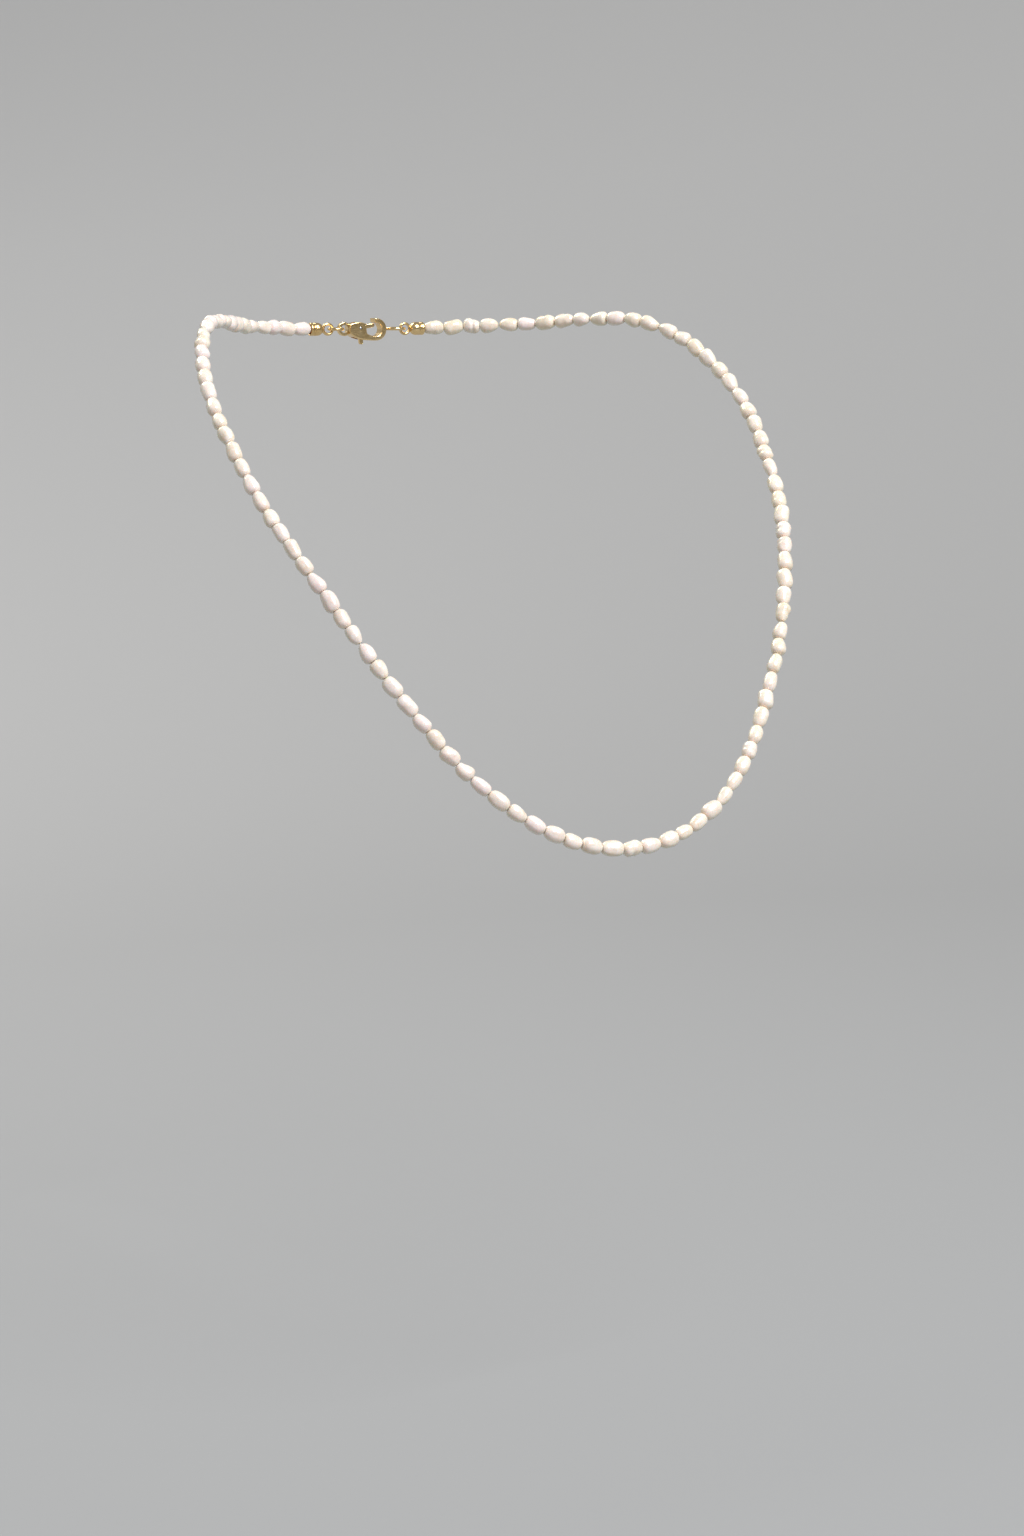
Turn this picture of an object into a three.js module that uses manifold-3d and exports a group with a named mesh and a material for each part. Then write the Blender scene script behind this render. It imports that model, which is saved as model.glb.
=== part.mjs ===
// A single strand of small drilled freshwater pearls on one thread, lying as it does round a neck, with
// a lobster clasp at the nape. Millimetres, +Z up. The front of the necklace faces -Y, and "left" is -X,
// the left hand side seen from the front. The origin is the middle of the neck, level with the strand
// where it crosses the shoulders.
import * as THREE from "three";
import { mergeVertices } from "three/addons/utils/BufferGeometryUtils.js";
import Module from "manifold-3d";

// The strand's centre line on the right, from the lowest pearl up the chest, over the shoulder and round to
// the nape. The left is its mirror image.
const HALF_ROUTE = [
  [0, -80, -97],
  [12, -79, -95],
  [23, -76, -89],
  [31.5, -71.5, -81],
  [38, -66.5, -72],
  [44, -61.5, -62.5],
  [49, -55.5, -53],
  [53.5, -48.5, -43.5],
  [57, -40.5, -34.5],
  [59, -32, -25.5],
  [60, -23.5, -17],
  [59, -14, -9],
  [55.5, -4, -2],
  [49.5, 6, 2],
  [42, 16, 2],
  [33.5, 25.5, 1],
  [23.5, 33, 0.5],
  [13, 36.5, 0],
  [0, 36.5, 0],
];
const ROUTE_DIVISIONS = 4000; // for measuring along the route
const TANGENT_STEP = 0.5; // for the route's direction at a place

// The strand as stretches that turn on one another, from the left end of the thread to the right end.
const STRETCHES = [
  { name: "left_tail", pearls: 4 },
  { name: "left_nape", pearls: 5 },
  { name: "left_shoulder", pearls: 4 },
  { name: "left_side", pearls: 21 },
  { name: "front", pearls: 33 },
  { name: "right_side", pearls: 21 },
  { name: "right_shoulder", pearls: 4 },
  { name: "right_nape", pearls: 5 },
  { name: "right_tail", pearls: 4 },
];

const PEARL_RADIUS = 1.6;
const PEARL_END_RADIUS = 0.62; // the flat round the drilled hole
const PEARL_BARREL = 0.42; // the share of a pearl's length that is its full girth
const DRILL_RADIUS = 0.4;
const PEARL_SIDES = 8;
const PEARLS_PER_NODE = 3;
const GIRTH_MEAN = 0.95; // of PEARL_RADIUS
const THREAD_RADIUS = 0.16;
const THREAD_SIDES = 8;
const THREAD_STEP = 6;
const THREAD_IN_CAP = 2.25; // how far the thread runs into each end cap
const TURNING_GAP = 0.5; // between the pearls of two stretches that turn on one another
const NODE_GAP = 0.3; // between the pearls of two nodes in one stretch
const THREAD_GAP = 0.3; // between the thread's own stretches

const CAP_LENGTH = 3;
const CAP_RADIUS = 1.4;
const CAP_WALL = 0.35;
const CAP_BARREL = 1.8; // the length of the cap's straight part
const CAP_BARREL_INSIDE = 1.7;
const CAP_SHOULDER = { radius: 1.05, height: 2.64 };
const CAP_SIDES = 12;
const CAP_EYE = { ring: 1.1, wire: 0.3, from_cap: 1.15 };
const CRIMP = { length: 1.1, radius: 0.75, middle_radius: 0.81, bore: 0.34, in_cap: 1.4, sides: 10 };
const RING_STEPS = 20;
const WIRE_SIDES = 8;
const JUMP_RING = { ring: 1.5, wire: 0.35 };
const END_RING = { ring: 1.95, wire: 0.35 };
const EYE_PLAY = 0.07; // between a ring's wire and the eye that it hangs in
const HOOK_GAP = 0.4; // between the clasp's hook and the end ring beside it
const CAP_GAP = 0.3; // between an end cap and its pearl

const CLASP = {
  eye_outer: 1.45,
  eye_hole: 0.8,
  eye_thickness: 0.9,
  thickness: 2.8,
  slot: 1.7, // width of the slot that the lever works in
  slot_reach: [2, 5.3],
  hook: [7.15, -0.1], // centre of the hook's bend
  hook_outer: 2.4,
  hook_inner: 1.4,
  hook_tip: THREE.MathUtils.degToRad(97), // the angle that the hook's bend ends at
  pivot: [3.4, 0.2],
  // The side view's outline between the eye and the hook. A bend is the control point of a curve.
  neck_below: [0.9, -1],
  belly_bend: [2.2, -2.1],
  belly: [4, -2.3],
  hook_bend: [5.6, -2.5],
  throat_bend: [5.6, -1.5],
  throat: [4.9, -0.9],
  back: [4.7, 1.1],
  back_bend: [3.2, 1.9],
  neck_above: [0.9, 1],
};
const EYE_SIDES = 20;
const PLATE_CURVE_STEPS = 6;
const EYE_CURVE_STEPS = 10;
const PIN = { radius: 0.3, length: 2.7, hole: 0.34, lever_hole: 0.36, sides: 16 };
const LEVER = {
  thickness: 0.8,
  offset: -0.3, // to one side, which leaves room for the spring
  hub: 0.8,
  gate_end: [6.62, 0.78],
  lug_end: [3.9, -2.9],
  half_width: 0.42,
};
const SPRING = { ring: 0.62, wire: 0.08, turns: 2.5, pitch: 0.19, start: 0.22 };
const COIL_STEPS_PER_TURN = 12;
const COIL_SIDES = 6;

const MERGE_DISTANCE = 1e-4;

const wasm = await Module();
wasm.setup();

const pearlMaterial = new THREE.MeshStandardMaterial({ color: 0xe9dccb, roughness: 0.25, metalness: 0 });
const threadMaterial = new THREE.MeshStandardMaterial({ color: 0xf1ece2, roughness: 0.8, metalness: 0 });
const goldMaterial = new THREE.MeshStandardMaterial({ color: 0xd9b36c, roughness: 0.25, metalness: 1 });
const steelMaterial = new THREE.MeshStandardMaterial({ color: 0xb9bcc0, roughness: 0.3, metalness: 1 });

// Booleans: geometries in, one closed geometry out.

function toSolid(geometry) {
  const bare = geometry.index ? geometry.toNonIndexed() : geometry.clone();
  bare.deleteAttribute("normal");
  bare.deleteAttribute("uv");
  const merged = mergeVertices(bare, MERGE_DISTANCE);
  return new wasm.Manifold(
    new wasm.Mesh({
      numProp: 3,
      vertProperties: merged.attributes.position.array,
      triVerts: new Uint32Array(merged.index.array),
    }),
  );
}

function toGeometry(solid) {
  const { numProp, vertProperties, triVerts } = solid.getMesh();
  const geometry = new THREE.BufferGeometry();
  const buffer = new THREE.InterleavedBuffer(vertProperties, numProp);
  geometry.setAttribute("position", new THREE.InterleavedBufferAttribute(buffer, 3, 0));
  geometry.setIndex(new THREE.BufferAttribute(triVerts, 1));
  const flat = geometry.toNonIndexed();
  flat.computeVertexNormals();
  return flat;
}

function join(geometries) {
  return toGeometry(geometries.map(toSolid).reduce((whole, piece) => whole.add(piece)));
}

function cut(geometry, tools) {
  return toGeometry(tools.map(toSolid).reduce((whole, tool) => whole.subtract(tool), toSolid(geometry)));
}

// A closed outline of [radius, height] turned about +Y.
function turned(outline, sides) {
  const points = outline.map(([radius, height]) => new THREE.Vector2(radius, height));
  return new THREE.LatheGeometry(points, sides);
}

const necklace = new THREE.Group();

function addPiece(name, geometry, material) {
  const mesh = new THREE.Mesh(geometry, material.clone());
  mesh.name = name;
  necklace.add(mesh);
}

// The route, as a closed curve. Distances along it are measured from the lowest pearl, positive to the
// right.

const rightSide = HALF_ROUTE.map(([x, y, z]) => new THREE.Vector3(x, y, z));
const leftSide = HALF_ROUTE.slice(1, -1).map(([x, y, z]) => new THREE.Vector3(-x, y, z));
const route = new THREE.CatmullRomCurve3([...rightSide, ...leftSide.reverse()], true, "centripetal");
route.arcLengthDivisions = ROUTE_DIVISIONS;
const routeLength = route.getLength();

function placeOnRoute(distance) {
  return route.getPointAt((((distance / routeLength) % 1) + 1) % 1);
}

// The clasp and its rings lie end to end between two end caps at the nape, and the pearls share the rest.
// The offsets are from an eye's centre to the wire that hangs in it.
const eyeOffset = CAP_EYE.ring - CAP_EYE.wire - JUMP_RING.wire - EYE_PLAY;
const claspEyeOffset = CLASP.eye_hole - JUMP_RING.wire - EYE_PLAY;
const claspLength = CLASP.hook[0] + CLASP.hook_outer; // from the eye's centre to the end of the hook
const jumpRingReach = eyeOffset + 2 * JUMP_RING.ring + claspEyeOffset;
const endRingReach = eyeOffset + 2 * END_RING.ring + END_RING.wire;
const eyeToEye = jumpRingReach + claspLength + HOOK_GAP + endRingReach;
const capToCap = eyeToEye + 2 * (CAP_LENGTH + CAP_EYE.from_cap);
const pearlCount = STRETCHES.reduce((sum, stretch) => sum + stretch.pearls, 0);
const pitch = (routeLength - capToCap - 2 * CAP_GAP) / pearlCount;

// Freshwater pearls are never quite alike: each one's length and girth strays a little from the mean.
function lengthShare(number) {
  return 1 + 0.07 * Math.sin(2.1 * number) + 0.05 * Math.sin(5.3 * number);
}

function girth(number) {
  return GIRTH_MEAN + 0.03 * Math.sin(3.7 * number) + 0.03 * Math.sin(1.3 * number);
}

// A run of drilled pearls, turned about +Y as one outline and then bent along the route, so that the height
// of each point becomes its distance. Each pearl has its start, its end and its radius.
function drilledPearls(pearls) {
  const first = pearls[0];
  const last = pearls.at(-1);
  const outside = pearls.flatMap(({ start, end, radius }) => {
    const middle = (start + end) / 2;
    const barrel = (end - start) * PEARL_BARREL;
    return [
      [radius, middle - barrel / 2],
      [radius, middle + barrel / 2],
      [PEARL_END_RADIUS, end],
    ];
  });
  const bore = pearls.map(({ start }) => [DRILL_RADIUS, start]).reverse();
  const outline = [
    [DRILL_RADIUS, first.start],
    [PEARL_END_RADIUS, first.start],
    ...outside,
    [DRILL_RADIUS, last.end],
    ...bore,
  ];
  return bendAlongRoute(turned(outline, PEARL_SIDES));
}

function bendAlongRoute(geometry) {
  const positions = geometry.attributes.position;
  const turn = new THREE.Quaternion();
  const up = new THREE.Vector3(0, 1, 0);
  for (let i = 0; i < positions.count; i++) {
    const distance = positions.getY(i);
    const ahead = placeOnRoute(distance + TANGENT_STEP);
    const tangent = ahead.sub(placeOnRoute(distance - TANGENT_STEP)).normalize();
    turn.setFromUnitVectors(up, tangent);
    const across = new THREE.Vector3(positions.getX(i), 0, positions.getZ(i)).applyQuaternion(turn);
    const point = placeOnRoute(distance).add(across);
    positions.setXYZ(i, point.x, point.y, point.z);
  }
  return geometry;
}

// Pearls go into nodes of three, and what is left over into pairs.
function nodeSizes(count) {
  const sizes = [];
  let left = count;
  while (left > 0) {
    const size = left === 4 || left === 2 ? 2 : Math.min(PEARLS_PER_NODE, left);
    sizes.push(size);
    left -= size;
  }
  return sizes;
}

function addPearls(stretch, places, firstNumber) {
  const clearance = (end, nodeStart, nodeEnd) => {
    if (end === 0 || end === stretch.pearls) return TURNING_GAP / 2;
    return end === nodeStart || end === nodeEnd ? NODE_GAP / 2 : 0;
  };
  let nodeStart = 0;
  nodeSizes(stretch.pearls).forEach((size, index) => {
    const nodeEnd = nodeStart + size;
    const pearls = [];
    for (let i = nodeStart; i < nodeEnd; i++) {
      pearls.push({
        start: places[i] + clearance(i, nodeStart, nodeEnd),
        end: places[i + 1] - clearance(i + 1, nodeStart, nodeEnd),
        radius: PEARL_RADIUS * girth(firstNumber + i),
      });
    }
    const label = String(index + 1).padStart(2, "0");
    addPiece(`${stretch.name}_pearls_${label}`, drilledPearls(pearls), pearlMaterial);
    nodeStart = nodeEnd;
  });
}

// A length of the thread, from one distance along the route to another.
class ThreadPath extends THREE.Curve {
  constructor(from, to) {
    super();
    this.from = from;
    this.to = to;
  }
  getPoint(t) {
    return placeOnRoute(THREE.MathUtils.lerp(this.from, this.to, t));
  }
}

function disc(radius, sides) {
  return new THREE.Shape(
    Array.from({ length: sides }, (_, i) => {
      const angle = (2 * Math.PI * i) / sides;
      return new THREE.Vector2(radius * Math.cos(angle), radius * Math.sin(angle));
    }),
  );
}

function tube(path, radius, sides, steps) {
  return new THREE.ExtrudeGeometry(disc(radius, sides), { extrudePath: path, steps, bevelEnabled: false });
}

function addThread(stretch, from, to) {
  const steps = Math.max(2, Math.round((to - from) / THREAD_STEP));
  const geometry = tube(new ThreadPath(from, to), THREAD_RADIUS, THREAD_SIDES, steps);
  addPiece(`${stretch.name}_thread`, geometry, threadMaterial);
}

let distance = -(pearlCount * pitch) / 2;
let number = 0;
STRETCHES.forEach((stretch, index) => {
  const length = stretch.pearls * pitch;
  const shares = Array.from({ length: stretch.pearls }, (_, i) => lengthShare(number + i));
  const whole = shares.reduce((sum, share) => sum + share, 0);
  const places = [distance];
  shares.forEach((share) => places.push(places.at(-1) + (share / whole) * length));
  addPearls(stretch, places, number);
  const first = index === 0;
  const last = index === STRETCHES.length - 1;
  addThread(
    stretch,
    distance + (first ? -THREAD_IN_CAP : THREAD_GAP / 2),
    distance + length + (last ? THREAD_IN_CAP : -THREAD_GAP / 2),
  );
  distance += length;
  number += stretch.pearls;
});

// The clasp and its rings lie along X at the nape, between the two end caps. u runs along X from the nape's
// middle.

const nape = placeOnRoute(routeLength / 2);
const capMouth = capToCap / 2;
const leftEye = -eyeToEye / 2;
const rightEye = eyeToEye / 2;
const jumpRingCentre = leftEye + eyeOffset + JUMP_RING.ring;
const endRingCentre = rightEye - eyeOffset - END_RING.ring;
const claspEye = leftEye + jumpRingReach;

function atNape(geometry, u) {
  return geometry.translate(nape.x + u, nape.y, nape.z);
}

function ring({ ring: radius, wire }) {
  return new THREE.TorusGeometry(radius, wire, WIRE_SIDES, RING_STEPS);
}

// A cup over the end of the thread, with an eye for a ring: mouth at u = 0, the eye towards +u.
function endCap() {
  const outline = [
    [CAP_RADIUS, 0],
    [CAP_RADIUS, CAP_BARREL],
    [CAP_SHOULDER.radius, CAP_SHOULDER.height],
    [0, CAP_LENGTH],
    [0, CAP_LENGTH - CAP_WALL],
    [CAP_SHOULDER.radius - CAP_WALL, CAP_SHOULDER.height - CAP_WALL],
    [CAP_RADIUS - CAP_WALL, CAP_BARREL_INSIDE],
    [CAP_RADIUS - CAP_WALL, 0],
    [CAP_RADIUS, 0],
  ];
  const cup = turned(outline, CAP_SIDES).rotateZ(-Math.PI / 2);
  const eye = ring(CAP_EYE).rotateX(Math.PI / 2).translate(CAP_LENGTH + CAP_EYE.from_cap, 0, 0);
  return join([cup, eye]);
}

// The crushed bead that holds the thread's end inside its cap.
function crimp() {
  const half = CRIMP.length / 2;
  const outline = [
    [CRIMP.bore, -half],
    [CRIMP.radius, -half],
    [CRIMP.middle_radius, 0],
    [CRIMP.radius, half],
    [CRIMP.bore, half],
    [CRIMP.bore, -half],
  ];
  return turned(outline, CRIMP.sides).rotateZ(Math.PI / 2);
}

function plate(shape, thickness, curveSegments = PLATE_CURVE_STEPS) {
  return new THREE.ExtrudeGeometry(shape, { depth: thickness, bevelEnabled: false, curveSegments })
    .translate(0, 0, -thickness / 2)
    .rotateX(Math.PI / 2);
}

function rod(radius, length, sides) {
  return new THREE.CylinderGeometry(radius, radius, length, sides);
}

function onPivot(geometry) {
  const [x, z] = CLASP.pivot;
  return geometry.translate(x, 0, z);
}

// The claw: a flat body whose hook bends round to a mouth on its upper side. Its own origin is its eye.
function claspBody() {
  const [hookX, hookZ] = CLASP.hook;
  const outline = new THREE.Shape();
  outline.moveTo(...CLASP.neck_below);
  outline.quadraticCurveTo(...CLASP.belly_bend, ...CLASP.belly);
  outline.quadraticCurveTo(...CLASP.hook_bend, hookX, hookZ - CLASP.hook_outer);
  outline.absarc(hookX, hookZ, CLASP.hook_outer, -Math.PI / 2, CLASP.hook_tip, false);
  outline.absarc(hookX, hookZ, CLASP.hook_inner, CLASP.hook_tip, -Math.PI / 2, true);
  outline.quadraticCurveTo(...CLASP.throat_bend, ...CLASP.throat);
  outline.lineTo(...CLASP.back);
  outline.quadraticCurveTo(...CLASP.back_bend, ...CLASP.neck_above);
  outline.closePath();
  const eye = new THREE.Shape().absarc(0, 0, CLASP.eye_outer, 0, 2 * Math.PI, false);
  const eyePlate = plate(eye, CLASP.eye_thickness, EYE_CURVE_STEPS);
  const body = join([plate(outline, CLASP.thickness), eyePlate]);
  const [slotStart, slotEnd] = CLASP.slot_reach;
  const throughHeight = 3 * CLASP.hook_outer;
  const slot = new THREE.BoxGeometry(slotEnd - slotStart, CLASP.slot, throughHeight);
  slot.translate((slotStart + slotEnd) / 2, 0, 0);
  const throughWidth = 2 * CLASP.thickness;
  const eyeHole = rod(CLASP.eye_hole, throughWidth, EYE_SIDES);
  const pinHole = onPivot(rod(PIN.hole, throughWidth, PIN.sides));
  return cut(body, [slot, eyeHole, pinHole]);
}

function bar(from, to, halfWidth) {
  const along = Math.atan2(to[1] - from[1], to[0] - from[0]);
  const shape = new THREE.Shape();
  shape.absarc(from[0], from[1], halfWidth, along + Math.PI / 2, along - Math.PI / 2, false);
  shape.absarc(to[0], to[1], halfWidth, along - Math.PI / 2, along + Math.PI / 2, false);
  shape.closePath();
  return shape;
}

// The lever: a hub on the pin, a gate that closes the mouth from inside, and a lug that sticks out below.
function claspLever() {
  const hub = new THREE.Shape().absarc(...CLASP.pivot, LEVER.hub, 0, 2 * Math.PI, false);
  const pieces = [
    plate(hub, LEVER.thickness),
    plate(bar(CLASP.pivot, LEVER.gate_end, LEVER.half_width), LEVER.thickness),
    plate(bar(CLASP.pivot, LEVER.lug_end, LEVER.half_width), LEVER.thickness),
  ];
  const hole = onPivot(rod(PIN.lever_hole, CLASP.thickness, PIN.sides));
  return cut(join(pieces), [hole]).translate(0, LEVER.offset, 0);
}

// The return spring: a few turns of fine wire round the pin, beside the lever.
class CoilPath extends THREE.Curve {
  getPoint(t) {
    const angle = 2 * Math.PI * SPRING.turns * t;
    return new THREE.Vector3(
      CLASP.pivot[0] + SPRING.ring * Math.cos(angle),
      SPRING.start + SPRING.pitch * SPRING.turns * t,
      CLASP.pivot[1] + SPRING.ring * Math.sin(angle),
    );
  }
}

[-1, 1].forEach((side) => {
  const name = side < 0 ? "left" : "right";
  const cap = side < 0 ? endCap() : endCap().rotateZ(Math.PI);
  addPiece(`${name}_end_cap`, atNape(cap, side * capMouth), goldMaterial);
  addPiece(`${name}_crimp`, atNape(crimp(), side * (capMouth - CRIMP.in_cap)), goldMaterial);
});
addPiece("jump_ring", atNape(ring(JUMP_RING), jumpRingCentre), goldMaterial);
addPiece("end_ring", atNape(ring(END_RING), endRingCentre), goldMaterial);
addPiece("clasp_body", atNape(claspBody(), claspEye), goldMaterial);
addPiece("clasp_lever", atNape(claspLever(), claspEye), goldMaterial);
const pin = onPivot(rod(PIN.radius, PIN.length, PIN.sides));
addPiece("clasp_pin", atNape(pin, claspEye), steelMaterial);
const coil = tube(new CoilPath(), SPRING.wire, COIL_SIDES, COIL_STEPS_PER_TURN * SPRING.turns);
addPiece("clasp_spring", atNape(coil, claspEye), steelMaterial);

export default necklace;
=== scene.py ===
"""Looks for the pearl necklace: 101 baroque pearls on a twisted thread, and a gold lobster clasp.

Shapes are worked out in millimetres, where the CAD has them, and made in metres.
"""

import itertools
import math
import random
from collections import namedtuple

import bmesh
import bpy
import numpy as np
from mathutils import Matrix, Quaternion, Vector, noise


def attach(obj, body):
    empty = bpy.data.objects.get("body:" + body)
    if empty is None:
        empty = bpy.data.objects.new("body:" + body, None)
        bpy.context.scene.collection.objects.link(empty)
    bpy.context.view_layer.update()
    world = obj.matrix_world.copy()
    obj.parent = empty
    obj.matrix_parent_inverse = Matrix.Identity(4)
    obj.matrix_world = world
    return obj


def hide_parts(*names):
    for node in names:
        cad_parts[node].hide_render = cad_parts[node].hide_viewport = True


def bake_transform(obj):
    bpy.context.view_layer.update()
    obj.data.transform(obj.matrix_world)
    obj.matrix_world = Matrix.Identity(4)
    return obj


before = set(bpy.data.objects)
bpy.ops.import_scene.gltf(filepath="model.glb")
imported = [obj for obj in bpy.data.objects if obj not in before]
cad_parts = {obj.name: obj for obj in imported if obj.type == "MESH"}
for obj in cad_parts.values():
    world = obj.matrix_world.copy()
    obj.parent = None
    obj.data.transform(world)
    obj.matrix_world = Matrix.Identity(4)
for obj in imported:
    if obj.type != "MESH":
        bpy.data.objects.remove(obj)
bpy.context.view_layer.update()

MM = 0.001
SEED = 20000  # each pearl adds its number
TURN = 2 * math.pi

# ---------------------------------------------------------------- camera

AIM = Vector((-0.0189, -0.067, -0.0818))  # the point that it looks at
AZIMUTH = -27.7
ELEVATION = 7.8
DISTANCE = 0.6935
LENS = 85
SENSOR = 36
NEAREST = 0.01  # nothing nearer than this is drawn


def direction(azimuth, elevation):
    """The way from the necklace to a camera or lamp, in degrees. Azimuth 0 is its front, 90 its +X side."""
    a, e = math.radians(azimuth), math.radians(elevation)
    return Vector((math.sin(a) * math.cos(e), -math.cos(a) * math.cos(e), math.sin(e)))


def add_camera():
    back = direction(AZIMUTH, ELEVATION)
    camera = bpy.data.objects.new("camera", bpy.data.cameras.new("camera"))
    bpy.context.scene.collection.objects.link(camera)
    camera.data.lens = LENS
    camera.data.sensor_width = SENSOR
    camera.data.clip_start = NEAREST
    camera.location = AIM + back * DISTANCE
    camera.rotation_mode = "QUATERNION"
    camera.rotation_quaternion = (-back).to_track_quat("-Z", "Y")
    bpy.context.scene.camera = camera


add_camera()
bpy.context.scene.view_settings.view_transform = "Standard"

# ---------------------------------------------------------------- the strand's route, as in the CAD

# Its right half, from the lowest pearl up and round to the middle of the nape. The left half mirrors it.
HALF_ROUTE = [
    (0, -80, -97),
    (12, -79, -95),
    (23, -76, -89),
    (31.5, -71.5, -81),
    (38, -66.5, -72),
    (44, -61.5, -62.5),
    (49, -55.5, -53),
    (53.5, -48.5, -43.5),
    (57, -40.5, -34.5),
    (59, -32, -25.5),
    (60, -23.5, -17),
    (59, -14, -9),
    (55.5, -4, -2),
    (49.5, 6, 2),
    (42, 16, 2),
    (33.5, 25.5, 1),
    (23.5, 33, 0.5),
    (13, 36.5, 0),
    (0, 36.5, 0),
]
STEPS_PER_SPAN = 240


def centripetal(before, start, end, after, t):
    """Points at t of a centripetal Catmull-Rom span from start to end."""
    first, middle, last = (
        math.sqrt(np.linalg.norm(b - a))
        for a, b in ((before, start), (start, end), (end, after))
    )
    leave = (start - before) / first - (end - before) / (first + middle) + (end - start) / middle
    arrive = (end - start) / middle - (after - start) / (middle + last) + (after - end) / last
    leave *= middle
    arrive *= middle
    t = t[:, None]
    square = -3 * start + 3 * end - 2 * leave - arrive
    cube = 2 * start - 2 * end + leave + arrive
    return start + leave * t + square * t**2 + cube * t**3


def closed_route():
    """Points round the route, and how far along it each is."""
    right = [np.array(p, float) for p in HALF_ROUTE]
    left = [p * (-1, 1, 1) for p in right[1:-1]]
    corners = right + left[::-1]
    t = np.linspace(0, 1, STEPS_PER_SPAN, endpoint=False)
    count = len(corners)
    spans = [
        centripetal(*(corners[(i + k) % count] for k in (-1, 0, 1, 2)), t)
        for i in range(count)
    ]
    points = np.concatenate([*spans, spans[0][:1]])
    steps = np.linalg.norm(np.diff(points, axis=0), axis=1)
    return points, np.concatenate([[0], np.cumsum(steps)])


ROUTE, ALONG = closed_route()
ROUTE_LENGTH = ALONG[-1]


def on_route(distance):
    """The point this far from the lowest pearl, positive to the right, in mm."""
    at = distance % ROUTE_LENGTH
    return Vector([np.interp(at, ALONG, ROUTE[:, k]) for k in range(3)])


# The strand's stretches from its left end, the pearls in each, and the body that each one moves with.
STRETCHES = [
    ("left_tail", 4, "left_tail"),
    ("left_nape", 5, "left_nape"),
    ("left_shoulder", 4, "shoulder_stretches"),
    ("left_side", 21, "front_sides"),
    ("front", 33, "front_drop"),
    ("right_side", 21, "front_sides"),
    ("right_shoulder", 4, "shoulder_stretches"),
    ("right_nape", 5, "right_nape"),
    ("right_tail", 4, "right_tail"),
]
PEARL_COUNT = sum(count for _, count, _ in STRETCHES)
CAP_TO_CAP = 26.64  # from the mouth of one end cap to the mouth of the other
CAP_GAP = 0.3  # between an end cap and its pearl
PITCH = (ROUTE_LENGTH - CAP_TO_CAP - 2 * CAP_GAP) / PEARL_COUNT
NAPE = on_route(ROUTE_LENGTH / 2)

PEARLS_PER_NODE = 3
# How the pearls vary along the strand, as in the CAD: waves of (size, radians for each pearl).
LENGTH_WAVES = ((0.07, 2.1), (0.05, 5.3))
GIRTH_MEAN = 0.95
GIRTH_WAVES = ((0.03, 3.7), (0.03, 1.3))


def waves(mean, sizes, number):
    """A mean and what the waves add to it at one pearl."""
    return sum((size * math.sin(rate * number) for size, rate in sizes), start=mean)


def length_share(number):
    """A pearl's length, over the mean of its stretch before the stretch is evened out."""
    return waves(1, LENGTH_WAVES, number)


def girth(number):
    """A pearl's radius over PEARL_RADIUS."""
    return waves(GIRTH_MEAN, GIRTH_WAVES, number)


def node_sizes(count):
    """How many pearls each CAD node of a stretch holds. No node holds only one."""
    sizes = []
    while count > 0:
        sizes.append(2 if count in (2, 4) else min(PEARLS_PER_NODE, count))
        count -= sizes[-1]
    return sizes


# ---------------------------------------------------------------- materials


class Nodes:
    """Short ways to add nodes to one material. Sizes in them are in metres."""

    MIX_INPUTS = (0, 6, 7)  # the Mix node's factor and its two colours
    MIX_RESULT = 2

    def __init__(self, name):
        self.material = bpy.data.materials.new(name)
        self.material.use_nodes = True
        self.tree = self.material.node_tree
        self.tree.nodes.clear()
        self.shader = self.add("ShaderNodeBsdfPrincipled")
        output = self.add("ShaderNodeOutputMaterial")
        self.tree.links.new(self.shader.outputs[0], output.inputs[0])
        self.place = self.add("ShaderNodeTexCoord").outputs["Object"]

    def add(self, kind, inputs=None, **settings):
        node = self.tree.nodes.new(kind)
        for name, value in settings.items():
            setattr(node, name, value)
        for name, value in (inputs or {}).items():
            self.put(node.inputs[name], value)
        return node

    def put(self, socket, value):
        if isinstance(value, bpy.types.NodeSocket):
            self.tree.links.new(value, socket)
        else:
            socket.default_value = value

    def set(self, **inputs):
        """Puts values on the shader; an underscore in a name stands for a space."""
        for name, value in inputs.items():
            self.put(self.shader.inputs[name.replace("_", " ")], value)

    def noise(self, scale, detail=2, distortion=0, vector=None):
        made = self.add(
            "ShaderNodeTexNoise",
            {
                "Vector": vector or self.place,
                "Scale": scale,
                "Detail": detail,
                "Distortion": distortion,
            },
        )
        return made.outputs[0]

    def ramp(self, factor, *stops):
        """A colour or grey ramp: stops are (position, colour or number)."""
        made = self.add("ShaderNodeValToRGB", {"Fac": factor})
        elements = made.color_ramp.elements
        while len(elements) < len(stops):
            elements.new(0.5)
        for element, (position, value) in zip(elements, stops):
            element.position = position
            element.color = (*value, 1) if isinstance(value, tuple) else (value,) * 3 + (1,)
        return made.outputs[0]

    def mix(self, factor, a, b):
        made = self.add("ShaderNodeMix", data_type="RGBA")
        for index, value in zip(self.MIX_INPUTS, (factor, a, b)):
            if isinstance(value, tuple):
                value = (*value, 1)
            self.put(made.inputs[index], value)
        return made.outputs[self.MIX_RESULT]

    def math(self, operation, a, b):
        made = self.add("ShaderNodeMath", operation=operation)
        self.put(made.inputs[0], a)
        self.put(made.inputs[1], b)
        return made.outputs[0]

    def bump(self, height, strength, distance, normal=None):
        inputs = {"Height": height, "Strength": strength, "Distance": distance}
        if normal:
            inputs["Normal"] = normal
        return self.add("ShaderNodeBump", inputs).outputs[0]


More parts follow.
